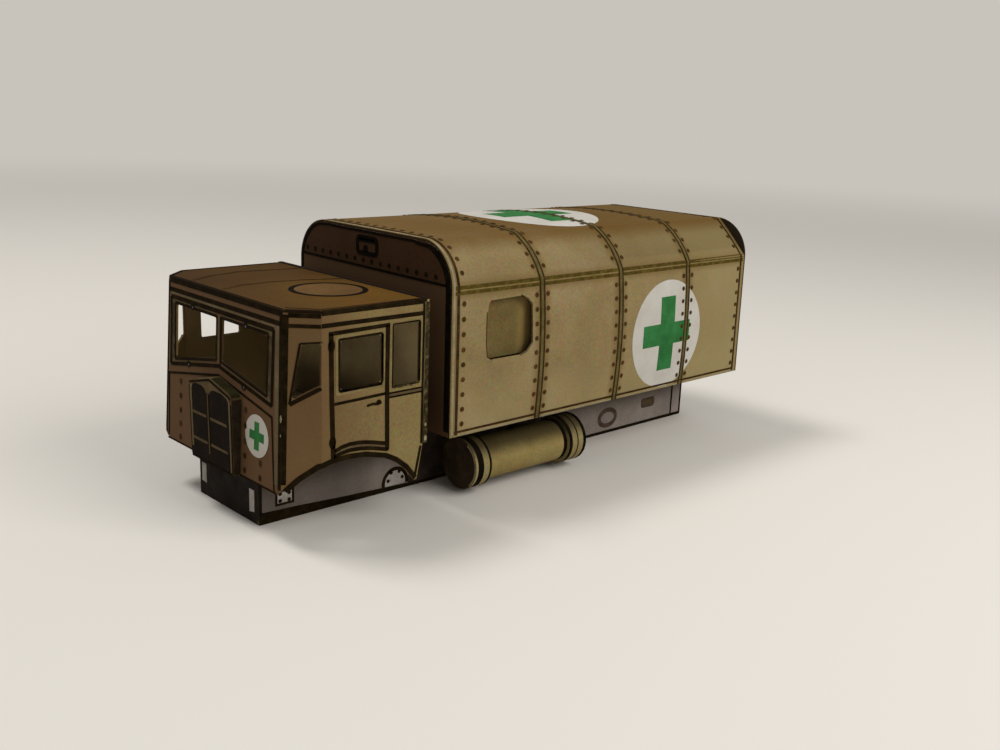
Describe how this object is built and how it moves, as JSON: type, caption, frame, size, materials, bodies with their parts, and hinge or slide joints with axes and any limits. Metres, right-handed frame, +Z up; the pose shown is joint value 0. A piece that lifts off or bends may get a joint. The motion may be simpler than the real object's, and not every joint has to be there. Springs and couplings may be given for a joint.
{
  "type": "paper model military ambulance truck",
  "caption": "Small folded and glued printed-card model of a cab-over military ambulance truck on a box chassis, hollow cab with cut windows, no wheels fitted.",
  "frame": {"origin": "under the middle of the bounding box, on the table the chassis box lies on", "axes": "+X forward to the cab's front, +Y to the vehicle's left, +Z up"},
  "size_m": [0.0834, 0.0338, 0.0339],
  "materials": {
    "cab_print": "matt printed card, olive brown with dark lines",
    "body_print": "matt printed card, olive brown with dark lines and rivets",
    "chassis_print": "matt printed card, grey-lilac with dark edges",
    "tank_print": "matt printed card, olive brown",
    "dark_print": "matt printed card, near black",
    "card_inside": "bare card"
  },
  "bodies": {
    "root": {"chassis_box": "chassis_print", "chassis_front": "chassis_print", "chassis_rear": "chassis_print", "cab_shell": "cab_print", "cab_roof": "cab_print", "cab_back": "card_inside", "cab_floor": "card_inside", "grille_box": "cab_print", "body_skin": "body_print", "body_front": "body_print", "body_rear": "body_print", "body_floor": "card_inside", "tank_tube_left": "tank_print", "tank_band_front_left": "tank_print", "tank_band_rear_left": "tank_print", "tank_end_front_left": "dark_print", "tank_end_rear_left": "dark_print", "tank_hanger_front_left": "card_inside", "tank_hanger_rear_left": "card_inside", "tank_tube_right": "tank_print", "tank_band_front_right": "tank_print", "tank_band_rear_right": "tank_print", "tank_end_front_right": "dark_print", "tank_end_rear_right": "dark_print", "tank_hanger_front_right": "card_inside", "tank_hanger_rear_right": "card_inside", "window_pane_left": "body_print", "window_pane_right": "body_print"}
  },
  "joints": []
}
